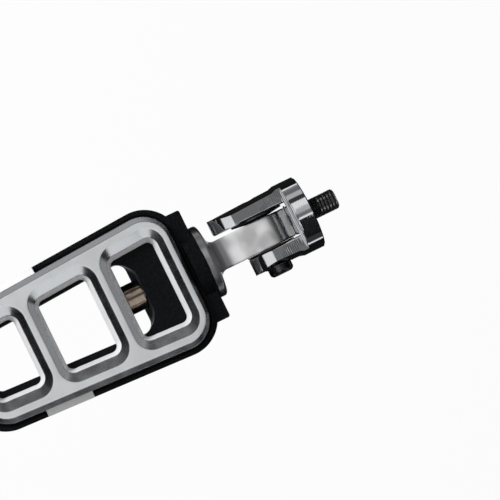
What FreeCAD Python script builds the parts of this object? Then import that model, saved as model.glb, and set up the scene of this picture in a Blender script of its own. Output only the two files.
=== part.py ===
import FreeCAD, Part
import math
import os
import sys
import Sketcher

# Folding footpeg on its clevis adapter.
# Row frame, in millimetres: the origin is the centre of the adapter's rear seating face,
# +X points out of that face, -X outboard along the peg, +Y across, +Z up.
# Lengths along the peg are given as positive distances outboard of the seating face.

os.makedirs("parts", exist_ok=True)
document = FreeCAD.newDocument("footpeg_adapter")
sheet = document.addObject("Spreadsheet::Sheet", "Sizes")

SIZES = [
    # Clevis, turned from round bar and then milled
    ("collar_radius", 20.1),
    ("collar_chamfer", 0.6),
    ("shoulder_back", 11.7),
    ("shoulder_front", 14.3),
    ("ear_radius", 19.3),
    ("ear_tip_radius", 18.1),
    ("ear_half_height", 10.0),
    ("ear_edge_round", 1.0),
    ("flat_start", 9.3),
    ("slot_floor", 10.5),
    ("upper_ear_reach", 50.4),
    ("lower_ear_reach", 39.2),
    ("nose_length", 14.2),
    ("nose_tip_radius", 7.0),
    ("spot_face_offset", 18.0),
    # Pivot, across the two ears
    ("pivot_distance", 26.0),
    ("pivot_shank_radius", 4.5),
    ("pivot_thread_radius", 3.9),
    ("pivot_tip_inset", 1.2),
    ("pivot_head_radius", 6.6),
    ("pivot_head_top_radius", 4.4),
    ("pivot_head_height", 4.6),
    ("pivot_head_rim", 2.1),
    ("pivot_key", 5.0),
    ("pivot_key_depth", 2.6),
    ("pivot_washer_radius", 7.6),
    ("pivot_washer_thick", 0.8),
    ("sleeve_wall", 1.4),
    ("thrust_washer_radius", 13.2),
    ("thrust_washer_thick", 0.6),
    ("spring_washer_radius", 14.2),
    ("spring_washer_thick", 0.9),
    ("spring_washer_height", 2.0),
    # Clearances
    ("side_play", 0.1),
    ("running_clearance", 0.05),
    ("bolt_clearance", 0.3),
    ("pin_clearance", 0.02),
    ("stop_gap", 0.1),
    ("recess_clearance", 0.3),
    # How far cutting outlines reach past the stock
    ("cut_margin", 1.0),
    # Edges of screws and pins
    ("bolt_edge", 0.8),
    ("tip_chamfer", 0.6),
    # Rear fastening
    ("mount_thread_radius", 5.5),
    ("mount_thread_start", 0.5),
    ("mount_screw_reach", 16.0),
    ("mount_neck_radius", 4.6),
    ("mount_head_radius", 8.0),
    ("mount_head_height", 4.8),
    ("mount_key", 6.4),
    ("mount_key_depth", 2.8),
    ("mount_well_depth", 6.2),
    ("lock_washer_radius", 7.8),
    ("lock_washer_thick", 1.2),
    ("lock_washer_gap", 1.6),
    ("seat_pin_radius", 2.5),
    ("seat_pin_root_radius", 2.2),
    ("seat_pin_step_radius", 3.0),
    ("seat_pin_relief", 0.3),
    ("seat_pin_offset", 14.0),
    ("seat_pin_depth", 6.0),
    ("seat_pin_reach", 4.0),
    # Peg mount: flange, flare and tongue
    ("peg_shift", -0.5),
    ("mate_distance", 61.4),
    ("flange_radius", 19.9),
    ("flange_rim_thick", 4.8),
    ("flange_thick", 5.8),
    ("flange_chamfer", 0.5),
    ("flange_rim_round", 1.8),
    ("flare_radius", 4.6),
    ("tongue_width", 16.0),
    ("barrel_radius", 11.5),
    ("heel_top", 3.0),
    ("tongue_edge_round", 1.0),
    ("tongue_root_round", 5.0),
    ("bolt_radius", 5.0),
    ("bolt_head_radius", 8.0),
    ("bolt_head_height", 10.0),
    ("bolt_key", 8.0),
    ("bolt_key_depth", 5.0),
    ("peg_bolt_engagement", 15.0),
    ("peg_bolt_well", 17.0),
    ("flange_pin_radius", 2.0),
    ("flange_pin_offset", 15.6),
    ("flange_pin_depth", 5.0),
    # Core body under the tread
    ("core_below", 12.0),
    ("core_above", 12.0),
    ("boss_radius", 19.7),
    ("slab_face", 61.7),
    ("slab_half_width", 30.5),
    ("slab_depth", 14.0),
    ("boss_depth", 7.0),
    ("slab_corner", 1.2),
    ("ring_start", 66.2),
    ("ring_half_start", 41.33),
    ("ring_half_end", 33.7),
    ("ring_corner", 19.8),
    ("core_edge_round", 1.2),
    ("opening_start", 112.0),
    ("opening_end", 185.9),
    ("core_lip", 4.7),
    ("opening_corner", 4.0),
    ("opening_shift", 0.8),
    ("scoop_start", 95.1),
    ("scoop_half_width", 20.2),
    ("scoop_corner", 13.5),
    ("scoop_foot_start", 98.2),
    ("scoop_foot_half_width", 19.4),
    ("scoop_foot_corner", 5.3),
    ("scoop_overlap", 6.0),
    ("bolt_seat", 96.4),
    ("bolt_seat_radius", 8.6),
    # Tread frame
    ("frame_bottom", 10.0),
    ("frame_top", 19.5),
    ("border_end", 5.1),
    ("border_side", 3.6),
    ("frame_gap", 1.4),
    ("edge_chamfer_end", 2.0),
    ("edge_chamfer_side", 3.2),
    ("edge_chamfer_depth", 2.0),
    ("window_chamfer_end", 3.8),
    ("window_chamfer_side", 5.6),
    ("window_chamfer_depth", 2.5),
    ("window_draft", 16.5),
    ("window_corner", 3.4),
    ("rim_side", 15.5),
    ("end_rail", 13.3),
    ("rib_width", 10.6),
    ("window_one_length", 28.6),
    ("window_two_length", 31.6),
    ("window_three_length", 28.3),
    ("tab_length", 25.6),
    ("tab_offset", 0.2),
    ("tab_edge_height", 3.0),
    # Screws that hold the tread frame from below
    ("screw_radius", 2.5),
    ("screw_head_radius", 4.25),
    ("screw_head_height", 5.0),
    ("screw_head_well", 6.0),
    ("screw_key", 4.0),
    ("screw_key_depth", 2.5),
    ("screw_engagement", 6.0),
    ("screw_hole_depth", 6.8),
    ("screw_inset", 10.2),
    ("screw_end_inset", 22.0),
]

for row, (alias, size) in enumerate(SIZES, start=1):
    sheet.set(f"A{row}", alias)
    sheet.set(f"B{row}", str(size))
    sheet.setAlias(f"B{row}", alias)
document.recompute()

# Places worked out from the driving sizes
SLOT_LOW = "(Sizes.peg_shift - Sizes.tongue_width / 2 - Sizes.thrust_washer_thick - Sizes.side_play)"
SLOT_HIGH = "(Sizes.peg_shift + Sizes.tongue_width / 2 + Sizes.spring_washer_height + Sizes.side_play)"
SLEEVE_RADIUS = "(Sizes.pivot_shank_radius + Sizes.running_clearance + Sizes.sleeve_wall)"
NOSE_TOP_RADIUS = (
    "(((Sizes.nose_length - Sizes.nose_tip_radius) ^ 2 + Sizes.ear_half_height ^ 2"
    " - Sizes.nose_tip_radius ^ 2) / (2 * (Sizes.ear_half_height - Sizes.nose_tip_radius)))"
)
WELL_FACE = "(-Sizes.slot_floor + Sizes.mount_well_depth)"
MOUNT_HEAD_FACE = "(-Sizes.slot_floor + Sizes.mount_well_depth - Sizes.lock_washer_thick)"
NECK_END = "(Sizes.mate_distance - Sizes.flange_thick - Sizes.flare_radius)"
WINDOW_ONE_START = "(Sizes.ring_start + Sizes.end_rail)"
WINDOW_ONE_END = f"({WINDOW_ONE_START} + Sizes.window_one_length)"
WINDOW_TWO_START = f"({WINDOW_ONE_END} + Sizes.rib_width)"
WINDOW_TWO_END = f"({WINDOW_TWO_START} + Sizes.window_two_length)"
WINDOW_THREE_START = f"({WINDOW_TWO_END} + Sizes.rib_width)"
WINDOW_THREE_END = f"({WINDOW_THREE_START} + Sizes.window_three_length)"
RING_END = f"({WINDOW_THREE_END} + Sizes.end_rail)"
RING_SLOPE = f"((Sizes.ring_half_start - Sizes.ring_half_end) / ({RING_END} - Sizes.ring_start))"
TAB_MIDDLE = f"({WINDOW_TWO_END} + Sizes.rib_width / 2 - Sizes.tab_offset)"
TAB_START = f"({TAB_MIDDLE} - Sizes.tab_length / 2)"
TAB_END = f"({TAB_MIDDLE} + Sizes.tab_length / 2)"
RIM_HEIGHT = "(Sizes.frame_top - Sizes.window_chamfer_depth)"
WALL_INSET = f"(({RIM_HEIGHT} - Sizes.frame_bottom) * tan(Sizes.window_draft))"
EDGE_HEIGHT = "(Sizes.frame_top - Sizes.edge_chamfer_depth)"
FRAME_CORNER = "(Sizes.ring_corner - (Sizes.border_end + Sizes.border_side) / 2)"
LAND_CORNER = f"({FRAME_CORNER} - (Sizes.edge_chamfer_end + Sizes.edge_chamfer_side) / 2)"
RIM_CORNER = f"(Sizes.window_corner + {WALL_INSET})"
RIM_LAND_CORNER = f"({RIM_CORNER} + (Sizes.window_chamfer_end + Sizes.window_chamfer_side) / 2)"
SCREW_HEAD_FACE = "(-Sizes.core_below + Sizes.screw_head_well)"
SCREW_FIRST = "(Sizes.ring_start + Sizes.screw_end_inset)"
SCREW_LAST = f"({RING_END} - Sizes.screw_end_inset)"
SCREW_PLACES = (SCREW_FIRST, f"(({SCREW_FIRST} + {SCREW_LAST}) / 2)", SCREW_LAST)
WINDOWS = (
    ("window_one", WINDOW_ONE_START, WINDOW_ONE_END),
    ("window_two", WINDOW_TWO_START, WINDOW_TWO_END),
    ("window_three", WINDOW_THREE_START, WINDOW_THREE_END),
)

# Distances below this count as equal, in mm, and cuts below this volume as empty, in mm3
TOLERANCE = 1e-3
LEAST_CUT = 0.01


def half_at(distance, inset):
    """Half width of the core's tapered outline at a distance, less an inset."""
    return f"(Sizes.ring_half_start - {RING_SLOPE} * ({distance} - Sizes.ring_start) - ({inset}))"


def number(expression):
    """Value of an expression on the sheet, as a plain float."""
    value = sheet.evalExpression(expression)
    return float(getattr(value, "Value", value))


def label(item, name):
    item.Label = name
    return item


# Sketches: closed outlines whose corners are bound to the sheet
def sketch_on(body, name, role, lift=None):
    """Empty sketch on one of the body's origin planes, lifted along the plane's normal."""
    sketch = body.newObject("Sketcher::SketchObject", name)
    plane = [item for item in body.Origin.OriginFeatures if item.Role == role][0]
    sketch.AttachmentSupport = [(plane, "")]
    sketch.MapMode = "FlatFace"
    if lift is not None:
        sketch.setExpression("AttachmentOffset.Base.z", lift)
    return sketch


def bind(sketch, kind, geometry, point, expression):
    index = sketch.addConstraint(
        Sketcher.Constraint(kind, -1, 1, geometry, point, number(expression))
    )
    sketch.setExpression(f"Constraints[{index}]", expression)


def outline(sketch, corners, arcs=None):
    """Closed loop of lines through the corners; arcs maps an edge to its centre and turn.

    Each corner is a pair of expressions. An arc is (centre x, centre y, turn, bound),
    with turn "left" or "right" and bound the centre's coordinate that stays bound.
    """
    arcs = arcs or {}
    start_point = {}
    end_point = {}
    first = sketch.GeometryCount
    spots = [FreeCAD.Vector(number(x), number(y), 0) for x, y in corners]
    count = len(corners)
    for edge in range(count):
        begin = spots[edge]
        finish = spots[(edge + 1) % count]
        if edge not in arcs:
            sketch.addGeometry(Part.LineSegment(begin, finish), False)
            start_point[edge], end_point[edge] = 1, 2
            continue
        centre = FreeCAD.Vector(number(arcs[edge][0]), number(arcs[edge][1]), 0)
        turn = arcs[edge][2]
        if turn == "right":
            begin, finish = finish, begin
        start_point[edge], end_point[edge] = (1, 2) if turn == "left" else (2, 1)
        from_angle = math.atan2(begin.y - centre.y, begin.x - centre.x)
        to_angle = math.atan2(finish.y - centre.y, finish.x - centre.x)
        if to_angle < from_angle:
            to_angle += 2 * math.pi
        circle = Part.Circle(centre, FreeCAD.Vector(0, 0, 1), (begin - centre).Length)
        sketch.addGeometry(Part.ArcOfCircle(circle, from_angle, to_angle), False)
    for edge in range(count):
        following = (edge + 1) % count
        sketch.addConstraint(
            Sketcher.Constraint(
                "Coincident", first + edge, end_point[edge], first + following, start_point[following]
            )
        )
        bind(sketch, "DistanceX", first + edge, start_point[edge], corners[edge][0])
        bind(sketch, "DistanceY", first + edge, start_point[edge], corners[edge][1])
        if edge in arcs:
            x_centre, y_centre, _, bound = arcs[edge]
            if bound == "x":
                bind(sketch, "DistanceX", first + edge, 3, x_centre)
            else:
                bind(sketch, "DistanceY", first + edge, 3, y_centre)
    return sketch


def rectangle(sketch, x_low, x_high, y_low, y_high):
    return outline(sketch, [(x_low, y_low), (x_high, y_low), (x_high, y_high), (x_low, y_high)])


def circle(sketch, x_centre, y_centre, radius):
    centre = FreeCAD.Vector(number(x_centre), number(y_centre), 0)
    shape = Part.Circle(centre, FreeCAD.Vector(0, 0, 1), number(radius))
    index = sketch.addGeometry(shape, False)
    bind(sketch, "DistanceX", index, 3, x_centre)
    bind(sketch, "DistanceY", index, 3, y_centre)
    limit = sketch.addConstraint(Sketcher.Constraint("Radius", index, number(radius)))
    sketch.setExpression(f"Constraints[{limit}]", radius)
    return sketch


def hexagon(sketch, across_flats):
    corners = []
    for turn in range(6):
        reach = f"{across_flats} / 2 / cos(30)"
        corners.append((f"{reach} * cos({60 * turn})", f"{reach} * sin({60 * turn})"))
    return outline(sketch, corners)


# Features
def new_body(name):
    return label(document.addObject("PartDesign::Body", name), name)


def pad(body, sketch, length, both_sides=False, reversed_way=False, taper=None):
    feature = body.newObject("PartDesign::Pad", sketch.Name + "_pad")
    feature.Profile = sketch
    feature.SideType = "Symmetric" if both_sides else "One side"
    feature.Reversed = reversed_way
    feature.setExpression("Length", length)
    if taper is not None:
        feature.setExpression("TaperAngle", taper)
    document.recompute()
    return feature


def pocket(body, sketch, length=None, both_sides=False, reversed_way=False, taper=None):
    feature = body.newObject("PartDesign::Pocket", sketch.Name + "_pocket")
    feature.Profile = sketch
    feature.SideType = "Symmetric" if both_sides else "One side"
    feature.Reversed = reversed_way
    if length is None:
        feature.Type = "ThroughAll"
    else:
        feature.setExpression("Length", length)
    if taper is not None:
        feature.setExpression("TaperAngle", taper)
    document.recompute()
    return feature


def turned(body, sketch, axis):
    feature = body.newObject("PartDesign::Revolution", sketch.Name + "_turned")
    feature.Profile = sketch
    feature.ReferenceAxis = (sketch, [axis])
    feature.Angle = 360
    document.recompute()
    return feature


def loft(body, kind, name, foot, head):
    """Straight-sided loft between two outlines; kind is Additive or Subtractive."""
    feature = body.newObject(f"PartDesign::{kind}Loft", name)
    feature.Profile = foot
    feature.Sections = [head]
    feature.Ruled = True
    document.recompute()
    return feature


def edges_where(feature, test):
    names = []
    for index, edge in enumerate(feature.Shape.Edges, start=1):
        if test(edge):
            names.append(f"Edge{index}")
    if not names:
        sys.exit(f"no edge to finish on {feature.Name}")
    return names


def fillet(body, base, test, radius, name):
    names = edges_where(base, test)
    feature = body.newObject("PartDesign::Fillet", name)
    feature.Base = (base, names)
    feature.setExpression("Radius", radius)
    document.recompute()
    return feature


def near(value, target):
    return abs(value - target) < TOLERANCE


def runs_upright(edge):
    """True for an edge that climbs more than it travels."""
    ends = edge.Vertexes
    if len(ends) != 2:
        return False
    step = ends[1].Point - ends[0].Point
    return abs(step.z) > math.hypot(step.x, step.y)


def lies_at_height(edge, height):
    box = edge.BoundBox
    return near(box.ZMin, height) and near(box.ZMax, height)


# Clevis: one piece of chromed bar, with a collar and two ears of unequal length
def build_clevis():
    body = new_body("clevis")
    profile = outline(
        sketch_on(body, "bar_profile", "XY_Plane"),
        [
            ("0", "Sizes.mount_thread_radius + Sizes.bolt_clearance"),
            ("0", "Sizes.collar_radius - Sizes.collar_chamfer"),
            ("-Sizes.collar_chamfer", "Sizes.collar_radius"),
            ("-Sizes.shoulder_back", "Sizes.collar_radius"),
            ("-Sizes.shoulder_front", "Sizes.ear_radius"),
            ("-Sizes.upper_ear_reach - Sizes.cut_margin", "Sizes.ear_tip_radius"),
            ("-Sizes.upper_ear_reach - Sizes.cut_margin", "Sizes.mount_head_radius + Sizes.bolt_clearance"),
            (WELL_FACE, "Sizes.mount_head_radius + Sizes.bolt_clearance"),
            (WELL_FACE, "Sizes.mount_thread_radius + Sizes.bolt_clearance"),
        ],
    )
    turned(body, profile, "H_Axis")

    flats = sketch_on(body, "ear_flats", "XZ_Plane")
    far = "-Sizes.upper_ear_reach - 2 * Sizes.cut_margin"
    past_bar = "Sizes.collar_radius + Sizes.cut_margin"
    rectangle(flats, far, "-Sizes.flat_start", "Sizes.ear_half_height", past_bar)
    rectangle(flats, far, "-Sizes.flat_start", f"-({past_bar})", "-Sizes.ear_half_height")
    pocket(body, flats, both_sides=True)

    slot = sketch_on(body, "tongue_slot", "XY_Plane")
    rectangle(slot, far, "-Sizes.slot_floor", SLOT_LOW, SLOT_HIGH)
    pocket(body, slot, both_sides=True)

    # The ear ends are round in side view: a small tip radius between two larger ones
    for name, reach, upper in (("upper_nose", "Sizes.upper_ear_reach", True),
                               ("lower_nose", "Sizes.lower_ear_reach", False)):
        shoulder = f"(-{reach} + Sizes.nose_length)"
        tip_centre = f"(-{reach} + Sizes.nose_tip_radius)"
        spread = f"({NOSE_TOP_RADIUS} - Sizes.nose_tip_radius)"
        meet_x = f"({tip_centre} + Sizes.nose_tip_radius * ({tip_centre} - {shoulder}) / {spread})"
        meet_z = f"(Sizes.nose_tip_radius * ({NOSE_TOP_RADIUS} - Sizes.ear_half_height) / {spread})"
        top_centre = f"(Sizes.ear_half_height - {NOSE_TOP_RADIUS})"
        nose = outline(
            sketch_on(body, name, "XZ_Plane"),
            [
                (shoulder, "Sizes.ear_half_height"),
                (meet_x, meet_z),
                (meet_x, f"-{meet_z}"),
                (shoulder, "-Sizes.ear_half_height"),
                (shoulder, "-Sizes.ear_half_height - Sizes.cut_margin"),
                (far, "-Sizes.ear_half_height - Sizes.cut_margin"),
                (far, "Sizes.ear_half_height + Sizes.cut_margin"),
                (shoulder, "Sizes.ear_half_height + Sizes.cut_margin"),
            ],
            {
                0: (shoulder, top_centre, "left", "x"),
                1: (tip_centre, "0", "left", "x"),
                2: (shoulder, f"-{top_centre}", "left", "x"),
            },
        )
        pocket(body, nose, "Sizes.ear_radius + Sizes.cut_margin", reversed_way=not upper)

    shank_hole = circle(sketch_on(body, "shank_hole", "XZ_Plane"), "-Sizes.pivot_distance", "0",
                        "Sizes.pivot_shank_radius + Sizes.running_clearance")
    pocket(body, shank_hole, "Sizes.ear_radius + Sizes.cut_margin", reversed_way=True)
    thread_hole = circle(sketch_on(body, "thread_hole", "XZ_Plane"), "-Sizes.pivot_distance", "0",
                         "Sizes.pivot_thread_radius + Sizes.running_clearance")
    pocket(body, thread_hole, "Sizes.ear_radius + Sizes.cut_margin")
    spot_face = circle(sketch_on(body, "spot_face", "XZ_Plane", "Sizes.spot_face_offset"),
                       "-Sizes.pivot_distance", "0", "Sizes.pivot_washer_radius + Sizes.bolt_clearance")
    pocket(body, spot_face, "2 * Sizes.ear_radius", reversed_way=True)
    pin_hole = circle(sketch_on(body, "seat_pin_hole", "YZ_Plane"), "0", "-Sizes.seat_pin_offset",
                      "Sizes.seat_pin_step_radius + Sizes.pin_clearance")
    holed = pocket(body, pin_hole, "Sizes.seat_pin_depth + Sizes.pin_clearance")

    inner_faces = (number(SLOT_LOW), number(SLOT_HIGH))
    floor = -number("Sizes.slot_floor")
    pivot = -number("Sizes.pivot_distance")

    def is_ear_rim(edge):
        box = edge.BoundBox
        on_face = any(near(box.YMin, y) and near(box.YMax, y) for y in inner_faces)
        at_hole = near(box.Center.x, pivot) and near(box.Center.z, 0)
        return on_face and not at_hole and not near(box.XMin, floor)

    fillet(body, holed, is_ear_rim, "Sizes.ear_edge_round", "ear_rims_round")
    return body


def ring_body(name, outer, inner, thick):
    """Flat ring, turned about its own Y axis, with one face at Y = 0 and the other at +thick."""
    body = new_body(name)
    profile = rectangle(sketch_on(body, name + "_profile", "XY_Plane"), inner, outer, "0", thick)
    turned(body, profile, "V_Axis")
    return body


def place(body, x_place, y_place, z_place="0"):
    body.setExpression("Placement.Base.x", x_place)
    body.setExpression("Placement.Base.y", y_place)
    body.setExpression("Placement.Base.z", z_place)
    return body


# Pivot: shouldered screw with a low domed head, its washer, a sleeve and two side washers
def build_pivot():
    screw = new_body("pivot_screw")
    washer_top = "(-Sizes.spot_face_offset - Sizes.pivot_washer_thick)"
    tip = "(Sizes.ear_radius - Sizes.pivot_tip_inset)"
    profile = outline(
        sketch_on(screw, "screw_profile", "XY_Plane"),
        [
            ("0", f"{washer_top} - Sizes.pivot_head_height"),
            ("Sizes.pivot_head_top_radius", f"{washer_top} - Sizes.pivot_head_height"),
            ("Sizes.pivot_head_radius", f"{washer_top} - Sizes.pivot_head_rim"),
            ("Sizes.pivot_head_radius", washer_top),
            ("Sizes.pivot_shank_radius", washer_top),
            ("Sizes.pivot_shank_radius", SLOT_HIGH),
            ("Sizes.pivot_thread_radius", SLOT_HIGH),
            ("Sizes.pivot_thread_radius", f"{tip} - Sizes.tip_chamfer"),
            ("Sizes.pivot_thread_radius - Sizes.tip_chamfer", tip),
            ("0", tip),
        ],
        {1: ("Sizes.pivot_head_top_radius", f"{washer_top} - Sizes.pivot_head_rim", "left", "x")},
    )
    turned(screw, profile, "V_Axis")
    key = hexagon(sketch_on(screw, "screw_key", "XZ_Plane",
                            "Sizes.spot_face_offset + Sizes.pivot_washer_thick + Sizes.pivot_head_height"),
                  "Sizes.pivot_key")
    pocket(screw, key, "Sizes.pivot_key_depth")
    place(screw, "-Sizes.pivot_distance", "0")

    hole = "(Sizes.pivot_shank_radius + Sizes.running_clearance)"
    washer = ring_body("pivot_washer", "Sizes.pivot_washer_radius", hole, "Sizes.pivot_washer_thick")
    place(washer, "-Sizes.pivot_distance", washer_top)

    sleeve = ring_body("pivot_sleeve", SLEEVE_RADIUS, hole, f"{SLOT_HIGH} - {SLOT_LOW}")
    place(sleeve, "-Sizes.pivot_distance", SLOT_LOW)

    around = f"({SLEEVE_RADIUS} + Sizes.bolt_clearance)"
    thrust = ring_body("thrust_washer", "Sizes.thrust_washer_radius", around, "Sizes.thrust_washer_thick")
    place(thrust, "-Sizes.pivot_distance", SLOT_LOW)

    # Dished spring washer: its rim bears on the upper ear, its bore edge on the tongue
    spring = new_body("spring_washer")
    rise = "(Sizes.spring_washer_height - Sizes.spring_washer_thick)"
    dish = outline(
        sketch_on(spring, "dish_profile", "XY_Plane"),
        [
            (around, "0"),
            ("Sizes.spring_washer_radius", rise),
            ("Sizes.spring_washer_radius", "Sizes.spring_washer_height"),
            (around, "Sizes.spring_washer_thick"),
        ],
    )
    turned(spring, dish, "V_Axis")
    place(spring, "-Sizes.pivot_distance", f"{SLOT_HIGH} - Sizes.spring_washer_height")


def cap_screw(name, corners, head_face, head_radius, head_height, key_size, key_depth):
    """Socket head screw along X with its head on the -X side; corners outline its shank."""
    body = new_body(name)
    head_end = f"({head_face} - {head_height})"
    profile = outline(
        sketch_on(body, name + "_profile", "XY_Plane"),
        corners
        + [
            (head_face, head_radius),
            (f"{head_end} + Sizes.bolt_edge", head_radius),
            (head_end, f"{head_radius} - Sizes.bolt_edge"),
            (head_end, "0"),
        ],
    )
    turned(body, profile, "H_Axis")
    key = hexagon(sketch_on(body, name + "_key", "YZ_Plane", head_end), key_size)
    pocket(body, key, key_depth, reversed_way=True)
    return body


# Rear fastening: low-head captive screw through the collar, its washer, and a stepped pin
def build_rear_fastening():
    cap_screw(
        "mounting_screw",
        [
            ("Sizes.mount_screw_reach", "0"),
            ("Sizes.mount_screw_reach", "Sizes.mount_thread_radius - Sizes.bolt_edge"),
            ("Sizes.mount_screw_reach - Sizes.bolt_edge", "Sizes.mount_thread_radius"),
            ("Sizes.mount_thread_start", "Sizes.mount_thread_radius"),
            ("Sizes.mount_thread_start", "Sizes.mount_neck_radius"),
            (MOUNT_HEAD_FACE, "Sizes.mount_neck_radius"),
        ],
        MOUNT_HEAD_FACE, "Sizes.mount_head_radius", "Sizes.mount_head_height",
        "Sizes.mount_key", "Sizes.mount_key_depth",
    )

    lock = new_body("mounting_lock_washer")
    split = rectangle(sketch_on(lock, "lock_washer_profile", "XY_Plane"), MOUNT_HEAD_FACE, WELL_FACE,
                      "Sizes.mount_thread_radius + Sizes.bolt_clearance", "Sizes.lock_washer_radius")
    turned(lock, split, "H_Axis")
    gap = rectangle(sketch_on(lock, "lock_washer_split", "XY_Plane"),
                    f"{MOUNT_HEAD_FACE} - Sizes.cut_margin", f"{WELL_FACE} + Sizes.cut_margin",
                    "-Sizes.lock_washer_gap / 2", "Sizes.lock_washer_gap / 2")
    pocket(lock, gap, "Sizes.lock_washer_radius + Sizes.cut_margin", reversed_way=True)

    pin = new_body("seat_pin")
    rod = outline(
        sketch_on(pin, "seat_pin_profile", "XY_Plane"),
        [
            ("-Sizes.seat_pin_depth", "0"),
            ("-Sizes.seat_pin_depth", "Sizes.seat_pin_step_radius"),
            ("0", "Sizes.seat_pin_step_radius"),
            ("0", "Sizes.seat_pin_root_radius"),
            ("Sizes.seat_pin_relief", "Sizes.seat_pin_root_radius"),
            ("Sizes.seat_pin_relief", "Sizes.seat_pin_radius"),
            ("Sizes.seat_pin_reach - Sizes.tip_chamfer", "Sizes.seat_pin_radius"),
            ("Sizes.seat_pin_reach", "Sizes.seat_pin_radius - Sizes.tip_chamfer"),
            ("Sizes.seat_pin_reach", "0"),
        ],
    )
    turned(pin, rod, "H_Axis")
    place(pin, "0", "0", "-Sizes.seat_pin_offset")


# Peg mount: round flange, flared neck and the tongue that turns between the ears
def build_peg_mount():
    body = new_body("peg_mount")
    face = "-Sizes.mate_distance"
    flange_front = "(-Sizes.mate_distance + Sizes.flange_thick)"
    half_tongue = "Sizes.tongue_width / 2"

    heel_face = "(-Sizes.slot_floor - Sizes.stop_gap)"
    root_face = f"({face} + Sizes.flange_rim_thick)"
    round_end = f"({root_face} + Sizes.tongue_root_round)"
    round_top = "(Sizes.barrel_radius + Sizes.tongue_root_round)"
    side = outline(
        sketch_on(body, "tongue_side", "XZ_Plane"),
        [
            (root_face, round_top),
            (root_face, f"-{round_top}"),
            (round_end, "-Sizes.barrel_radius"),
            (heel_face, "-Sizes.barrel_radius"),
            (heel_face, "-Sizes.heel_top"),
            ("-Sizes.pivot_distance + Sizes.barrel_radius", "-Sizes.heel_top"),
            ("-Sizes.pivot_distance + Sizes.barrel_radius", "0"),
            ("-Sizes.pivot_distance", "Sizes.barrel_radius"),
            (round_end, "Sizes.barrel_radius"),
        ],
        {
            1: (round_end, f"-{round_top}", "right", "x"),
            6: ("-Sizes.pivot_distance", "0", "left", "x"),
            8: (round_end, round_top, "right", "x"),
        },
    )
    slab = pad(body, side, "Sizes.tongue_width", both_sides=True)
    half_width = number(half_tongue)
    root = number(root_face)

    def is_tongue_rim(edge):
        box = edge.BoundBox
        on_side = near(abs(box.YMin), half_width) and near(box.YMin, box.YMax)
        return on_side and not near(box.XMax, root)

    fillet(body, slab, is_tongue_rim, "Sizes.tongue_edge_round", "tongue_rims_round")
    rim_centre = (f"({root_face} - Sizes.flange_rim_round)",
                  "(Sizes.flange_radius - Sizes.flange_rim_round)")
    profile = outline(
        sketch_on(body, "flange_profile", "XY_Plane"),
        [
            (face, "0"),
            (face, "Sizes.flange_radius - Sizes.flange_chamfer"),
            (f"{face} + Sizes.flange_chamfer", "Sizes.flange_radius"),
            (rim_centre[0], "Sizes.flange_radius"),
            (root_face, rim_centre[1]),
            (flange_front, f"{half_tongue} + Sizes.flare_radius"),
            (f"-{NECK_END}", half_tongue),
            (f"-{NECK_END}", "0"),
        ],
        {
            3: (*rim_centre, "right", "x"),
            5: (f"-{NECK_END}", f"{half_tongue} + Sizes.flare_radius", "left", "x"),
        },
    )
    turned(body, profile, "H_Axis")
    bore = circle(sketch_on(body, "pivot_bore", "XZ_Plane"), "-Sizes.pivot_distance", "0",
                  f"{SLEEVE_RADIUS} + Sizes.running_clearance")
    pocket(body, bore, both_sides=True)
    tapped = circle(sketch_on(body, "peg_bolt_hole", "YZ_Plane", face), "0", "0",
                    "Sizes.bolt_radius + Sizes.running_clearance")
    pocket(body, tapped, "Sizes.peg_bolt_well", reversed_way=True)
    pin_hole = circle(sketch_on(body, "flange_pin_hole", "YZ_Plane", face), "0",
                      "-Sizes.flange_pin_offset", "Sizes.flange_pin_radius + Sizes.pin_clearance")
    pocket(body, pin_hole, "Sizes.flange_thick + Sizes.flare_radius", reversed_way=True)
    place(body, "0", "Sizes.peg_shift")

    bolt_tip = f"({face} + Sizes.peg_bolt_engagement)"
    bolt = cap_screw(
        "peg_bolt",
        [
            (bolt_tip, "0"),
            (bolt_tip, "Sizes.bolt_radius - Sizes.bolt_edge"),
            (f"{bolt_tip} - Sizes.bolt_edge", "Sizes.bolt_radius"),
            ("-Sizes.bolt_seat", "Sizes.bolt_radius"),
        ],
        "(-Sizes.bolt_seat)", "Sizes.bolt_head_radius", "Sizes.bolt_head_height",
        "Sizes.bolt_key", "Sizes.bolt_key_depth",
    )
    place(bolt, "0", "Sizes.peg_shift")

    pin = new_body("flange_pin")
    rod = rectangle(sketch_on(pin, "flange_pin_profile", "XY_Plane"),
                    f"{face} - Sizes.flange_pin_depth", root_face, "0", "Sizes.flange_pin_radius")
    turned(pin, rod, "H_Axis")
    place(pin, "0", "Sizes.peg_shift", "-Sizes.flange_pin_offset")


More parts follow.
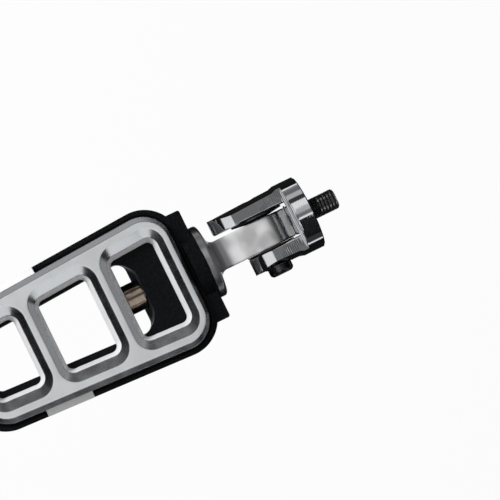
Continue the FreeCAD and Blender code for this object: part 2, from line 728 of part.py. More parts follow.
def tapered_outline(sketch, start, end, inset, radius=None):
    """Four-sided outline that follows the core's tapered sides at an inset.

    With a radius its corners are round, each arc tangent to an end and a side.
    """
    half_start = half_at(start, inset)
    half_end = half_at(end, inset)
    if radius is None:
        return outline(
            sketch,
            [
                (f"-({start})", half_start),
                (f"-({end})", half_end),
                (f"-({end})", f"-{half_end}"),
                (f"-({start})", f"-{half_start}"),
            ],
        )
    slant = f"sqrt(1 + {RING_SLOPE} ^ 2)"
    start_run = f"(({radius}) / ({slant} - {RING_SLOPE}))"
    end_run = f"(({radius}) / ({slant} + {RING_SLOPE}))"
    side_start = (
        f"(-({start}) - {start_run} / {slant})",
        f"({half_start} - {start_run} * {RING_SLOPE} / {slant})",
    )
    side_end = (
        f"(-({end}) + {end_run} / {slant})",
        f"({half_end} + {end_run} * {RING_SLOPE} / {slant})",
    )
    start_rise = f"({half_start} - {start_run})"
    end_rise = f"({half_end} - {end_run})"
    start_centre = f"(-({start}) - ({radius}))"
    end_centre = f"(-({end}) + ({radius}))"
    return outline(
        sketch,
        [
            side_start,
            side_end,
            (f"-({end})", end_rise),
            (f"-({end})", f"-{end_rise}"),
            (side_end[0], f"-{side_end[1]}"),
            (side_start[0], f"-{side_start[1]}"),
            (f"-({start})", f"-{start_rise}"),
            (f"-({start})", start_rise),
        ],
        {
            1: (end_centre, end_rise, "left", "x"),
            3: (end_centre, f"-{end_rise}", "left", "x"),
            5: (start_centre, f"-{start_rise}", "left", "x"),
            7: (start_centre, start_rise, "left", "x"),
        },
    )


def round_ended(sketch, front, back, half_width, radius):
    """Rectangle along the peg whose two corners at the front are round."""
    turn_at = f"(-{front} - {radius})"
    straight = f"({half_width} - {radius})"
    return outline(
        sketch,
        [
            (f"-{back}", f"-{half_width}"),
            (turn_at, f"-{half_width}"),
            (f"-{front}", f"-{straight}"),
            (f"-{front}", straight),
            (turn_at, half_width),
            (f"-{back}", half_width),
        ],
        {
            1: (turn_at, f"-{straight}", "left", "x"),
            3: (turn_at, straight, "left", "x"),
        },
    )


# Core body: the black casting under the tread, with the end slab and the boss for the flange
def build_core_body():
    body = new_body("core_body")
    ring = tapered_outline(sketch_on(body, "core_outline", "XY_Plane", "-Sizes.core_below"),
                           "Sizes.ring_start", RING_END, "0", "Sizes.ring_corner")
    blank = pad(body, ring, "Sizes.core_below + Sizes.core_above")
    top = number("Sizes.core_above")
    bottom = -number("Sizes.core_below")

    def is_outer_rim(edge):
        return lies_at_height(edge, top) or lies_at_height(edge, bottom)

    fillet(body, blank, is_outer_rim, "Sizes.core_edge_round", "core_rims_round")

    slab = rectangle(sketch_on(body, "end_slab", "XY_Plane", "-Sizes.core_below"),
                     "-Sizes.slab_face - Sizes.slab_depth", "-Sizes.slab_face",
                     "-Sizes.slab_half_width", "Sizes.slab_half_width")
    slabbed = pad(body, slab, "Sizes.core_below + Sizes.core_above")
    front = -number("Sizes.slab_face")

    def is_slab_corner(edge):
        return runs_upright(edge) and near(edge.BoundBox.XMax, front)

    fillet(body, slabbed, is_slab_corner, "Sizes.slab_corner", "slab_corners")
    boss_face = sketch_on(body, "flange_boss", "YZ_Plane", "-Sizes.mate_distance")
    pad(body, circle(boss_face, "0", "0", "Sizes.boss_radius"), "Sizes.boss_depth", reversed_way=True)

    recess = tapered_outline(
        sketch_on(body, "frame_recess", "XY_Plane", "Sizes.frame_bottom"),
        "Sizes.ring_start + Sizes.border_end - Sizes.frame_gap",
        f"{RING_END} - Sizes.border_end + Sizes.frame_gap",
        "Sizes.border_side - Sizes.frame_gap",
        f"{FRAME_CORNER} + Sizes.frame_gap",
    )
    pocket(body, recess, "2 * Sizes.boss_radius", reversed_way=True)

    opening = tapered_outline(
        sketch_on(body, "main_opening", "XY_Plane"),
        "Sizes.opening_start",
        "Sizes.opening_end",
        "Sizes.rim_side + Sizes.core_lip",
        "Sizes.opening_corner",
    )
    opening.setExpression("AttachmentOffset.Base.y", "Sizes.opening_shift")
    pocket(body, opening, both_sides=True)

    scoop_back = "(Sizes.opening_start + Sizes.scoop_overlap)"
    scoop_head = round_ended(sketch_on(body, "scoop_head", "XY_Plane", "Sizes.frame_bottom"),
                             "Sizes.scoop_start", scoop_back,
                             "Sizes.scoop_half_width", "Sizes.scoop_corner")
    scoop_foot = round_ended(sketch_on(body, "scoop_foot", "XY_Plane", "-Sizes.core_below"),
                             "Sizes.scoop_foot_start", scoop_back,
                             "Sizes.scoop_foot_half_width", "Sizes.scoop_foot_corner")
    loft(body, "Subtractive", "scoop", scoop_head, scoop_foot)

    seat = sketch_on(body, "bolt_seat", "YZ_Plane", "-Sizes.bolt_seat")
    pocket(body, circle(seat, "0", "0", "Sizes.bolt_seat_radius"), "Sizes.bolt_head_height")
    bore = circle(sketch_on(body, "bolt_bore", "YZ_Plane", "-Sizes.bolt_seat"), "0", "0",
                  "Sizes.bolt_radius + Sizes.bolt_clearance")
    pocket(body, bore, "Sizes.bolt_seat", reversed_way=True)
    pin_hole = circle(sketch_on(body, "core_pin_hole", "YZ_Plane", "-Sizes.mate_distance"), "0",
                      "-Sizes.flange_pin_offset", "Sizes.flange_pin_radius + Sizes.pin_clearance")
    pocket(body, pin_hole, "Sizes.flange_pin_depth + Sizes.pin_clearance")

    # The tabs of the tread frame cross the border wall on both sides
    notch = tapered_outline(
        sketch_on(body, "tab_notches", "XY_Plane", "Sizes.frame_bottom"),
        f"{TAB_START} - Sizes.recess_clearance",
        f"{TAB_END} + Sizes.recess_clearance",
        "-Sizes.cut_margin",
    )
    pocket(body, notch, "Sizes.core_above", reversed_way=True)

    heads = sketch_on(body, "screw_head_wells", "XY_Plane", "-Sizes.core_below")
    holes = sketch_on(body, "screw_holes", "XY_Plane", "-Sizes.core_below")
    for distance in SCREW_PLACES:
        for side in ("", "-"):
            across = f"{side}{half_at(distance, 'Sizes.screw_inset')}"
            circle(heads, f"-{distance}", across, "Sizes.screw_head_radius + Sizes.bolt_clearance")
            circle(holes, f"-{distance}", across, "Sizes.screw_radius + Sizes.bolt_clearance")
    pocket(body, heads, "Sizes.screw_head_well", reversed_way=True)
    pocket(body, holes, reversed_way=True)
    place(body, "0", "Sizes.peg_shift")


# Tread frame: one silver frame with three windows, drafted walls and chamfered rims
def build_tread_frame():
    body = new_body("tread_frame")
    start = "(Sizes.ring_start + Sizes.border_end)"
    end = f"({RING_END} - Sizes.border_end)"
    base = tapered_outline(sketch_on(body, "frame_outline", "XY_Plane", "Sizes.frame_bottom"),
                           start, end, "Sizes.border_side", FRAME_CORNER)
    pad(body, base, f"{EDGE_HEIGHT} - Sizes.frame_bottom")
    edge_foot = tapered_outline(sketch_on(body, "edge_foot", "XY_Plane", EDGE_HEIGHT),
                                start, end, "Sizes.border_side", FRAME_CORNER)
    edge_head = tapered_outline(sketch_on(body, "edge_head", "XY_Plane", "Sizes.frame_top"),
                                f"({start} + Sizes.edge_chamfer_end)",
                                f"({end} - Sizes.edge_chamfer_end)",
                                "Sizes.border_side + Sizes.edge_chamfer_side", LAND_CORNER)
    loft(body, "Additive", "outer_chamfer", edge_foot, edge_head)

    # Side tabs, whose slope falls from the land to the full width of the core
    tabs = tapered_outline(sketch_on(body, "side_tabs", "XY_Plane", "Sizes.frame_bottom"),
                           TAB_START, TAB_END, "0")
    pad(body, tabs, "Sizes.tab_edge_height")
    slope_foot = tapered_outline(
        sketch_on(body, "tab_slope_foot", "XY_Plane", "Sizes.frame_bottom + Sizes.tab_edge_height"),
        TAB_START, TAB_END, "0")
    slope_head = tapered_outline(
        sketch_on(body, "tab_slope_head", "XY_Plane", "Sizes.frame_top"),
        TAB_START, TAB_END, "Sizes.border_side + Sizes.edge_chamfer_side")
    loft(body, "Additive", "tab_slopes", slope_foot, slope_head)

    for name, window_start, window_end in WINDOWS:
        hole = tapered_outline(
            sketch_on(body, name, "XY_Plane", "Sizes.frame_bottom"),
            f"{window_start} + {WALL_INSET}",
            f"{window_end} - {WALL_INSET}",
            f"Sizes.rim_side + {WALL_INSET}",
            "Sizes.window_corner",
        )
        pocket(body, hole, f"{RIM_HEIGHT} - Sizes.frame_bottom", reversed_way=True,
               taper="Sizes.window_draft")
        rim = tapered_outline(sketch_on(body, name + "_rim", "XY_Plane", RIM_HEIGHT),
                              window_start, window_end, "Sizes.rim_side", RIM_CORNER)
        brink = tapered_outline(
            sketch_on(body, name + "_brink", "XY_Plane", "Sizes.frame_top"),
            f"({window_start} - Sizes.window_chamfer_end)",
            f"({window_end} + Sizes.window_chamfer_end)",
            "Sizes.rim_side - Sizes.window_chamfer_side",
            RIM_LAND_CORNER,
        )
        loft(body, "Subtractive", name + "_chamfer", rim, brink)

    holes = sketch_on(body, "frame_screw_holes", "XY_Plane", "Sizes.frame_bottom")
    for distance in SCREW_PLACES:
        for side in ("", "-"):
            across = f"{side}{half_at(distance, 'Sizes.screw_inset')}"
            circle(holes, f"-{distance}", across, "Sizes.screw_radius + Sizes.running_clearance")
    pocket(body, holes, "Sizes.screw_hole_depth", reversed_way=True)
    place(body, "0", "Sizes.peg_shift")


# Frame screws: six socket head screws from below, in one group
def build_frame_screws():
    screws = []
    for row, distance in enumerate(SCREW_PLACES):
        for side, sign in (("a", ""), ("b", "-")):
            tag = f"{row + 1}{side}"
            head = document.addObject("Part::Cylinder", f"screw_head_{tag}")
            head.setExpression("Radius", "Sizes.screw_head_radius")
            head.setExpression("Height", "Sizes.screw_head_height")
            head.setExpression("Placement.Base.z", f"{SCREW_HEAD_FACE} - Sizes.screw_head_height")
            shank = document.addObject("Part::Cylinder", f"screw_shank_{tag}")
            shank.setExpression("Radius", "Sizes.screw_radius")
            shank.setExpression("Height", f"Sizes.frame_bottom + Sizes.screw_engagement - {SCREW_HEAD_FACE}")
            shank.setExpression("Placement.Base.z", SCREW_HEAD_FACE)
            joined = document.addObject("Part::Fuse", f"screw_blank_{tag}")
            joined.Base = head
            joined.Tool = shank
            key = document.addObject("Part::Prism", f"screw_key_{tag}")
            key.Polygon = 6
            key.setExpression("Circumradius", "Sizes.screw_key / 2 / cos(30)")
            key.setExpression("Height", "Sizes.screw_key_depth")
            key.setExpression("Placement.Base.z", f"{SCREW_HEAD_FACE} - Sizes.screw_head_height")
            screw = document.addObject("Part::Cut", f"frame_screw_{tag}")
            screw.Base = joined
            screw.Tool = key
            screw.setExpression("Placement.Base.x", f"-{distance}")
            screw.setExpression(
                "Placement.Base.y", f"Sizes.peg_shift + {sign}{half_at(distance, 'Sizes.screw_inset')}"
            )
            screws.append(screw)
    group = document.addObject("Part::Compound", "frame_screws")
    group.Links = screws
    label(group, "frame_screws")
    return group


NODES = (
    "clevis",
    "pivot_screw",
    "pivot_washer",
    "pivot_sleeve",
    "thrust_washer",
    "spring_washer",
    "mounting_screw",
    "mounting_lock_washer",
    "seat_pin",
    "peg_mount",
    "peg_bolt",
    "flange_pin",
    "core_body",
    "tread_frame",
    "frame_screws",
)


def check_model():
    """Stop on a failed object, an empty or invalid shape, or a cut that removes nothing."""
    for item in document.Objects:
        if "Invalid" in item.State or "Error" in item.State:
            sys.exit(f"{item.Name} is {item.State}")
        if item.TypeId in ("PartDesign::Pocket", "PartDesign::SubtractiveLoft"):
            before = item.BaseFeature.Shape.Volume
            if before - item.Shape.Volume < LEAST_CUT:
                sys.exit(f"{item.Name} cuts nothing")
    for name in NODES:
        shape = document.getObjectsByLabel(name)[0].Shape
        if shape.isNull() or not shape.isValid() or not shape.Solids:
            sys.exit(f"{name} has no valid solid")


def export_parts():
    for name in NODES:
        shape = document.getObjectsByLabel(name)[0].Shape
        box = shape.BoundBox
        print(f"{name}: {len(shape.Solids)} solid(s), {shape.Volume / 1000:.2f} cm3, "
              f"X {box.XMin:.1f} {box.XMax:.1f}, Y {box.YMin:.1f} {box.YMax:.1f}, "
              f"Z {box.ZMin:.1f} {box.ZMax:.1f}")
        shape.exportStep(f"parts/{name}.step")


build_clevis()
build_pivot()
build_rear_fastening()
build_peg_mount()
build_core_body()
build_tread_frame()
build_frame_screws()
document.recompute()
check_model()
export_parts()
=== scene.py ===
"""Dresses the folding footpeg and its clevis adapter for a studio picture."""

import logging
import math
from dataclasses import dataclass, fields
from enum import Enum

import bmesh
import bpy
from mathutils import Matrix, Vector

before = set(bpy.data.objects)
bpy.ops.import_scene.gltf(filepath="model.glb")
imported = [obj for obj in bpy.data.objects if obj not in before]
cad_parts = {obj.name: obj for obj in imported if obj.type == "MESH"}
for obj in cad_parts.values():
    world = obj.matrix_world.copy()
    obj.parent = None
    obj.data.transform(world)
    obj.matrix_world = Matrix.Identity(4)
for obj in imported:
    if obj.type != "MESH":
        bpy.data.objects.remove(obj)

logging.basicConfig(level=logging.INFO, format="%(message)s")
log = logging.getLogger("footpeg")

MM = 0.001
HALF_TURN = 180.0
Socket = bpy.types.NodeSocket
Colour = tuple[float, float, float]
Point = tuple[float, float, float]
Span = tuple[float, float]
Tiers = tuple[float, float, float]

# Stretches of a cloudy noise's values over which a colour, a gloss and a tone change
COLOUR_CLOUDS: Span = (0.35, 0.7)
GLOSS_CLOUDS: Span = (0.3, 0.75)
TONE_CLOUDS: Span = (0.3, 0.7)

# Octaves of finer noise in cloudy spots, and rays that look for an edge
CLOUD_DETAIL = 3.0
EDGE_SAMPLES = 8


class Graph:
    """A node tree under construction."""

    def __init__(self, tree: bpy.types.NodeTree) -> None:
        """Start with the given tree, emptied."""
        self.nodes, self.links = tree.nodes, tree.links
        self.nodes.clear()

    def node(self, kind: str, **settings: object) -> bpy.types.Node:
        """Add a node and set its properties.

        Args:
            kind: Type of the node.
            **settings: Properties of the node, by name.

        Returns:
            The new node.
        """
        made = self.nodes.new(kind)
        for key, value in settings.items():
            setattr(made, key, value)
        return made

    def feed(self, entry: Socket, value: Socket | float) -> None:
        """Give an input its value.

        Args:
            entry: The input.
            value: A number, or the socket that the value comes from.
        """
        if isinstance(value, (int, float)):
            entry.default_value = value
        else:
            self.links.new(value, entry)

    def math(self, operation: str, *values: Socket | float) -> Socket:
        """Combine values in a math node.

        Args:
            operation: Name of the operation.
            *values: The values, in the node's order.

        Returns:
            The result.
        """
        node = self.node("ShaderNodeMath", operation=operation)
        for entry, value in zip(node.inputs, values):
            self.feed(entry, value)
        return node.outputs["Value"]

    def ramp(self, value: Socket, low: float, high: float, to_low: float, to_high: float) -> Socket:
        """Remap a value from one range to another, clamped.

        Args:
            value: The value.
            low: Start of the range that is read.
            high: End of the range that is read.
            to_low: Result at its start.
            to_high: Result at its end.

        Returns:
            The remapped value.
        """
        node = self.node("ShaderNodeMapRange", interpolation_type="SMOOTHSTEP")
        for key, number in zip(("From Min", "From Max", "To Min", "To Max"), (low, high, to_low, to_high)):
            node.inputs[key].default_value = number
        self.feed(node.inputs["Value"], value)
        return node.outputs["Result"]

    def band(self, value: Socket, rise: Span, fall: Span) -> Socket:
        """1 on one stretch and 0 beside it, rising over the first span and falling over the second."""
        return self.math("MULTIPLY", self.ramp(value, *rise, 0, 1), self.ramp(value, *fall, 1, 0))


class Shader(Graph):
    """A material under construction: its node tree and its main shader."""

    def __init__(self, name: str) -> None:
        """Start an empty material with one principled shader.

        Args:
            name: Name of the material.
        """
        self.material = bpy.data.materials.new(name)
        self.material.use_nodes = True
        super().__init__(self.material.node_tree)
        self.surface = self.node("ShaderNodeBsdfPrincipled")
        self.feed(self.node("ShaderNodeOutputMaterial").inputs["Surface"], self.surface.outputs["BSDF"])
        self.place = self.node("ShaderNodeTexCoord").outputs["Object"]

    def fill(self, name: str, value: Socket | float) -> None:
        """Give the named input of the main shader its value."""
        self.feed(self.surface.inputs[name], value)

    def axes(self) -> tuple[Socket, Socket, Socket]:
        """Object coordinates one by one.

        Returns:
            The places along X, Y and Z.
        """
        apart = self.node("ShaderNodeSeparateXYZ")
        self.feed(apart.inputs[0], self.place)
        return apart.outputs["X"], apart.outputs["Y"], apart.outputs["Z"]

    def noise(self, size: float | Point, detail: float = 2.0) -> Socket:
        """Noise with spots of about the given size.

        Args:
            size: Rough size of a spot, in metres, or its sizes along X, Y and Z.
            detail: Octaves of finer noise.

        Returns:
            The noise, about 0 to 1.
        """
        texture = self.node("ShaderNodeTexNoise")
        texture.inputs["Detail"].default_value = detail
        if isinstance(size, tuple):
            stretch = self.node("ShaderNodeMapping")
            stretch.inputs["Scale"].default_value = tuple(1.0 / part for part in size)
            self.feed(stretch.inputs["Vector"], self.place)
            texture.inputs["Scale"].default_value = 1.0
            self.feed(texture.inputs["Vector"], stretch.outputs["Vector"])
        else:
            texture.inputs["Scale"].default_value = 1.0 / size
            self.feed(texture.inputs["Vector"], self.place)
        return texture.outputs["Fac"]

    def mixed(self, factor: Socket, first: Colour | Socket, second: Colour) -> Socket:
        """Mix two colours by a factor.

        Args:
            factor: Share of the second colour.
            first: First colour.
            second: Second colour.

        Returns:
            The mixed colour.
        """
        node = self.node("ShaderNodeMix", data_type="RGBA")
        colours = [entry for entry in node.inputs if entry.type == "RGBA"]
        if isinstance(first, tuple):
            colours[0].default_value = (*first, 1)
        else:
            self.feed(colours[0], first)
        colours[1].default_value = (*second, 1)
        self.feed(node.inputs["Factor"], factor)
        return next(result for result in node.outputs if result.type == "RGBA")

    def clouded(self, cloud: Socket, colour: Colour, worn: Colour) -> Socket:
        """Mix a colour with that of its worn spots, which a cloudy noise places."""
        return self.mixed(self.ramp(cloud, *COLOUR_CLOUDS, 0, 1), colour, worn)

    def toned(self, colour: Socket, tone: Socket) -> Socket:
        """Make a colour lighter or darker by a factor.

        Args:
            colour: The colour.
            tone: The factor, about 1.

        Returns:
            The changed colour.
        """
        node = self.node("ShaderNodeVectorMath", operation="SCALE")
        self.feed(node.inputs[0], colour)
        self.feed(node.inputs["Scale"], tone)
        return node.outputs["Vector"]

    def relief(self, height: Socket, depth: float, edge: float = 0.0) -> None:
        """Bump the surface by a height, over softly rounded edges.

        Args:
            height: The height, 0 to 1.
            depth: Depth of the relief, in metres.
            edge: Radius at which edges catch the light, in metres, or 0 for edges as they are.
        """
        bump = self.node("ShaderNodeBump")
        bump.inputs["Distance"].default_value = depth
        self.feed(bump.inputs["Height"], height)
        if edge:
            rounding = self.node("ShaderNodeBevel", samples=EDGE_SAMPLES)
            rounding.inputs["Radius"].default_value = edge
            self.feed(bump.inputs["Normal"], rounding.outputs["Normal"])
        self.fill("Normal", bump.outputs["Normal"])


@dataclass(frozen=True)
class PlainFinish:
    """One metal or plastic all over, with cloudy gloss and a fine grain.

    Attributes:
        name: Name of the material.
        colour: Colour of the surface.
        worn: Colour of its worn spots.
        gloss: Lowest and highest roughness.
        cloud: Size of the cloudy spots.
        grain: Size of the grain along X, Y and Z.
        depth: Depth of the grain.
        metallic: Share of metal in the surface.
        edge: Radius at which edges catch the light.
    """

    name: str
    colour: Colour
    worn: Colour
    gloss: Span
    cloud: float
    grain: Point
    depth: float
    metallic: float = 1.0
    edge: float = 0.25 * MM

    def material(self) -> bpy.types.Material:
        """Build the material.

        Returns:
            The material.
        """
        shader = Shader(self.name)
        cloud = shader.noise(self.cloud, CLOUD_DETAIL)
        shader.fill("Base Color", shader.clouded(cloud, self.colour, self.worn))
        shader.fill("Metallic", self.metallic)
        shader.fill("Roughness", shader.ramp(cloud, *GLOSS_CLOUDS, *self.gloss))
        shader.relief(shader.noise(self.grain), self.depth, self.edge)
        return shader.material


@dataclass(frozen=True)
class SilverCasting:
    """The tread frame: pale blasted walls, bright cut chamfers and a satin land on top.

    Attributes:
        name: Name of the material.
        wall: Colour of the blasted walls.
        cut: Colour of the cut chamfers.
        land: Colour of the flat land.
        metal: Shares of metal in walls, chamfers and land.
        gloss: Roughness of walls, chamfers and land.
        rim: Heights over which the walls give way to the chamfers.
        brink: Heights over which the chamfers give way to the land.
        cloud: Size of the cloudy spots.
        cloud_detail: Octaves of finer noise in them.
        cloud_tone: Brightness of the cloudy spots, as a factor.
        cloud_gloss: What the cloudy spots add to the roughness.
        speck: Size of the specks that blasting left.
        speck_tone: What the specks add to that factor.
        depth: Depth of the specks.
        edge: Radius at which edges catch the light.
    """

    name: str = "silver_casting"
    wall: Colour = (0.79, 0.79, 0.80)
    cut: Colour = (0.66, 0.68, 0.71)
    land: Colour = (0.76, 0.78, 0.80)
    metal: Tiers = (0.0, 1.0, 0.6)
    gloss: Tiers = (0.62, 0.20, 0.42)
    rim: Span = (16.95 * MM, 17.05 * MM)
    brink: Span = (19.38 * MM, 19.46 * MM)
    cloud: float = 11 * MM
    cloud_detail: float = 4.0
    cloud_tone: Span = (0.93, 1.03)
    cloud_gloss: Span = (-0.02, 0.05)
    speck: float = 0.45 * MM
    speck_tone: Span = (-0.03, 0.03)
    depth: float = 0.005 * MM
    edge: float = 1.1 * MM

    def material(self) -> bpy.types.Material:
        """Build the material.

        Returns:
            The material.
        """
        shader = Shader(self.name)
        height = shader.axes()[2]
        above_rim = shader.ramp(height, *self.rim, 0, 1)
        on_land = shader.ramp(height, *self.brink, 0, 1)
        cloud = shader.noise(self.cloud, self.cloud_detail)
        speck = shader.noise(self.speck)
        colour = shader.mixed(on_land, shader.mixed(above_rim, self.wall, self.cut), self.land)
        tone = shader.math("ADD", shader.ramp(cloud, *TONE_CLOUDS, *self.cloud_tone),
                           shader.ramp(speck, *TONE_CLOUDS, *self.speck_tone))
        shader.fill("Base Color", shader.toned(colour, tone))
        shader.fill("Metallic", self.tiered(shader, above_rim, on_land, self.metal))
        gloss = self.tiered(shader, above_rim, on_land, self.gloss)
        uneven = shader.ramp(cloud, *TONE_CLOUDS, *self.cloud_gloss)
        shader.fill("Roughness", shader.math("ADD", gloss, uneven))
        shader.relief(speck, self.depth, self.edge)
        return shader.material

    def tiered(self, shader: Shader, above_rim: Socket, on_land: Socket, tiers: Tiers) -> Socket:
        """One value for the walls, one for the chamfers and one for the land.

        Args:
            shader: The material under construction.
            above_rim: 1 above the rim, and 0 below it.
            on_land: 1 on the land, and 0 below it.
            tiers: The three values.

        Returns:
            The value at each height.
        """
        wall, cut, land = tiers
        raised = shader.math("MULTIPLY", above_rim, cut - wall)
        topped = shader.math("MULTIPLY", on_land, land - cut)
        return shader.math("ADD", wall, shader.math("ADD", raised, topped))


@dataclass(frozen=True)
class TurnedChrome:
    """The clevis: chrome over bar that was turned and then milled, with fine ribs across the flats.

    Attributes:
        name: Name of the material.
        colour: Reflected colour.
        worn: Colour of its worn spots.
        gloss: Lowest and highest roughness.
        cloud: Size of the cloudy spots.
        pitch: Distance between the milled ribs.
        ribs_in: Places over which the ribs fade in.
        ribs_out: Places over which they fade out again.
        patch: Size of the patches in which the ribs stray and weaken.
        patch_reach: Stretch of the patches' values over which the ribs weaken.
        strength: Lowest and highest strength of the ribs.
        wander: How far the ribs stray, as an angle of their wave.
        ring: Size of the turned rings' marks along X, Y and Z.
        rib_share: Share of the ribs in the relief.
        ring_share: Share of the rings in the relief.
        depth: Depth of the relief.
    """

    name: str = "chrome"
    colour: Colour = (0.80, 0.82, 0.85)
    worn: Colour = (0.744, 0.7626, 0.7905)
    gloss: Span = (0.05, 0.09)
    cloud: float = 9 * MM
    pitch: float = 1.1 * MM
    ribs_in: Span = (-25.0 * MM, -23.0 * MM)
    ribs_out: Span = (-9.0 * MM, -8.0 * MM)
    patch: float = 6 * MM
    patch_reach: Span = (0.35, 0.6)
    strength: Span = (0.25, 1.0)
    wander: float = 6.0
    ring: Point = (0.9 * MM, 9 * MM, 9 * MM)
    rib_share: float = 0.5
    ring_share: float = 0.35
    depth: float = 0.05 * MM

    def material(self) -> bpy.types.Material:
        """Build the material.

        Returns:
            The material.
        """
        shader = Shader(self.name)
        along = shader.axes()[0]
        cloud = shader.noise(self.cloud, CLOUD_DETAIL)
        shader.fill("Base Color", shader.clouded(cloud, self.colour, self.worn))
        shader.fill("Metallic", 1.0)
        shader.fill("Roughness", shader.ramp(cloud, *GLOSS_CLOUDS, *self.gloss))
        patch = shader.noise(self.patch)
        phase = shader.math("ADD", shader.math("MULTIPLY", along, math.tau / self.pitch),
                            shader.math("MULTIPLY", patch, self.wander))
        strength = shader.ramp(patch, *self.patch_reach, *self.strength)
        ribs = shader.math("MULTIPLY", shader.math("SINE", phase), strength)
        milled = shader.math("MULTIPLY", ribs, shader.band(along, self.ribs_in, self.ribs_out))
        height = shader.math("ADD", shader.math("MULTIPLY", milled, self.rib_share),
                             shader.math("MULTIPLY", shader.noise(self.ring), self.ring_share))
        shader.relief(height, self.depth)
        return shader.material


@dataclass(frozen=True)
class RubbedNickel:
    """The peg mount: satin nickel, polished on flange and neck and rubbed bright on the barrel; flange and
    neck carry painted shade.

    Attributes:
        name: Name of the material.
        colour: Colour of the plating.
        worn: Colour of its worn spots.
        neck: Darker colour of the polished flange and neck, painted shade that stands in for their dark
            reflections.
        neck_end: Places over which the polished neck gives way to the satin tongue.
        barrel_start: Places over which the tongue gives way to the rubbed barrel.
        cloud: Size of the cloudy spots.
        satin_reach: Stretch of the clouds' values over which the tongue's metal changes.
        satin_metal: Lowest and highest share of metal on the tongue.
        satin_gloss: Roughness of the tongue.
        rubbed_gloss: What the polished and rubbed parts take off that roughness.
        dent: Size of the dents.
        depth: Depth of the dents.
    """

    name: str = "satin_nickel"
    colour: Colour = (0.88, 0.88, 0.89)
    worn: Colour = (0.78, 0.78, 0.79)
    neck: Colour = (0.46, 0.46, 0.48)
    neck_end: Span = (-50.5 * MM, -45.5 * MM)
    barrel_start: Span = (-27.0 * MM, -19.0 * MM)
    cloud: float = 13 * MM
    satin_reach: Span = (0.35, 0.65)
    satin_metal: Span = (0.3, 0.75)
    satin_gloss: float = 0.42
    rubbed_gloss: float = 0.12
    dent: float = 6 * MM
    depth: float = 0.02 * MM

    def material(self) -> bpy.types.Material:
        """Build the material.

        Returns:
            The material.
        """
        shader = Shader(self.name)
        along = shader.axes()[0]
        cloud = shader.noise(self.cloud)
        neck_shade_and_polish = shader.ramp(along, *self.neck_end, 1, 0)
        on_barrel = shader.ramp(along, *self.barrel_start, 0, 1)
        rubbed = shader.math("ADD", neck_shade_and_polish, on_barrel)
        plating = shader.clouded(cloud, self.colour, self.worn)
        # Painted shade: flange and neck take a darker copy of the nickel's colour.
        shader.fill("Base Color", shader.mixed(neck_shade_and_polish, plating, self.neck))
        satin = shader.ramp(cloud, *self.satin_reach, *self.satin_metal)
        shader.fill("Metallic", shader.math("MAXIMUM", rubbed, satin))
        smoother = shader.math("MULTIPLY", rubbed, self.rubbed_gloss)
        shader.fill("Roughness", shader.math("SUBTRACT", self.satin_gloss, smoother))
        shader.relief(shader.noise(self.dent), self.depth)
        return shader.material


@dataclass(frozen=True)
class CoatedCasting:
    """The core: satin black coat over a cast grain, with painted sheen in blue-grey on the scoop.

    Attributes:
        name: Name of the material.
        colour: Colour of the coat.
        crest: Colour on the crests of its grain.
        crest_reach: Stretch of the grain's values over which the crests begin.
        scoop: Colour of the painted sheen on the scoop.
        scoop_in: Places over which that painted sheen fades in.
        scoop_out: Places over which it fades out again.
        scoop_side: Distances from the middle over which it fades out sideways.
        scoop_top: Heights over which it fades out upwards.
        grain: Size of the grain.
        depth: Depth of the grain.
        shine: Strength of the coat's gloss.
        gloss: Lowest and highest roughness.
        cloud: Size of the cloudy spots.
        edge: Radius at which edges catch the light.
    """

    name: str = "black_coat"
    colour: Colour = (0.0024, 0.0027, 0.0034)
    crest: Colour = (0.0062, 0.0068, 0.0080)
    crest_reach: Span = (0.4, 0.65)
    scoop: Colour = (0.027, 0.031, 0.040)
    scoop_in: Span = (-99.4 * MM, -99.1 * MM)
    scoop_out: Span = (-95.5 * MM, -95.3 * MM)
    scoop_side: Span = (20.4 * MM, 20.7 * MM)
    scoop_top: Span = (9.8 * MM, 9.9 * MM)
    grain: float = 1.1 * MM
    depth: float = 0.03 * MM
    shine: float = 0.08
    gloss: Span = (0.34, 0.48)
    cloud: float = 10 * MM
    edge: float = 0.5 * MM

    def material(self) -> bpy.types.Material:
        """Build the material.

        Returns:
            The material.
        """
        shader = Shader(self.name)
        along, across, height = shader.axes()
        grain = shader.noise(self.grain, CLOUD_DETAIL)
        coat = shader.mixed(shader.ramp(grain, *self.crest_reach, 0, 1), self.colour, self.crest)
        # Painted sheen: a lighter blue-grey on the scoop stands in for the lamp's gloss on it.
        beside = shader.ramp(shader.math("ABSOLUTE", across), *self.scoop_side, 1, 0)
        below = shader.ramp(height, *self.scoop_top, 1, 0)
        painted_sheen_on_scoop = shader.math("MULTIPLY", shader.band(along, self.scoop_in, self.scoop_out),
                               shader.math("MULTIPLY", beside, below))
        shader.fill("Base Color", shader.mixed(painted_sheen_on_scoop, coat, self.scoop))
        shader.fill("Specular IOR Level", self.shine)
        cloud = shader.noise(self.cloud, CLOUD_DETAIL)
        shader.fill("Roughness", shader.ramp(cloud, *GLOSS_CLOUDS, *self.gloss))
        shader.relief(grain, self.depth, self.edge)
        return shader.material


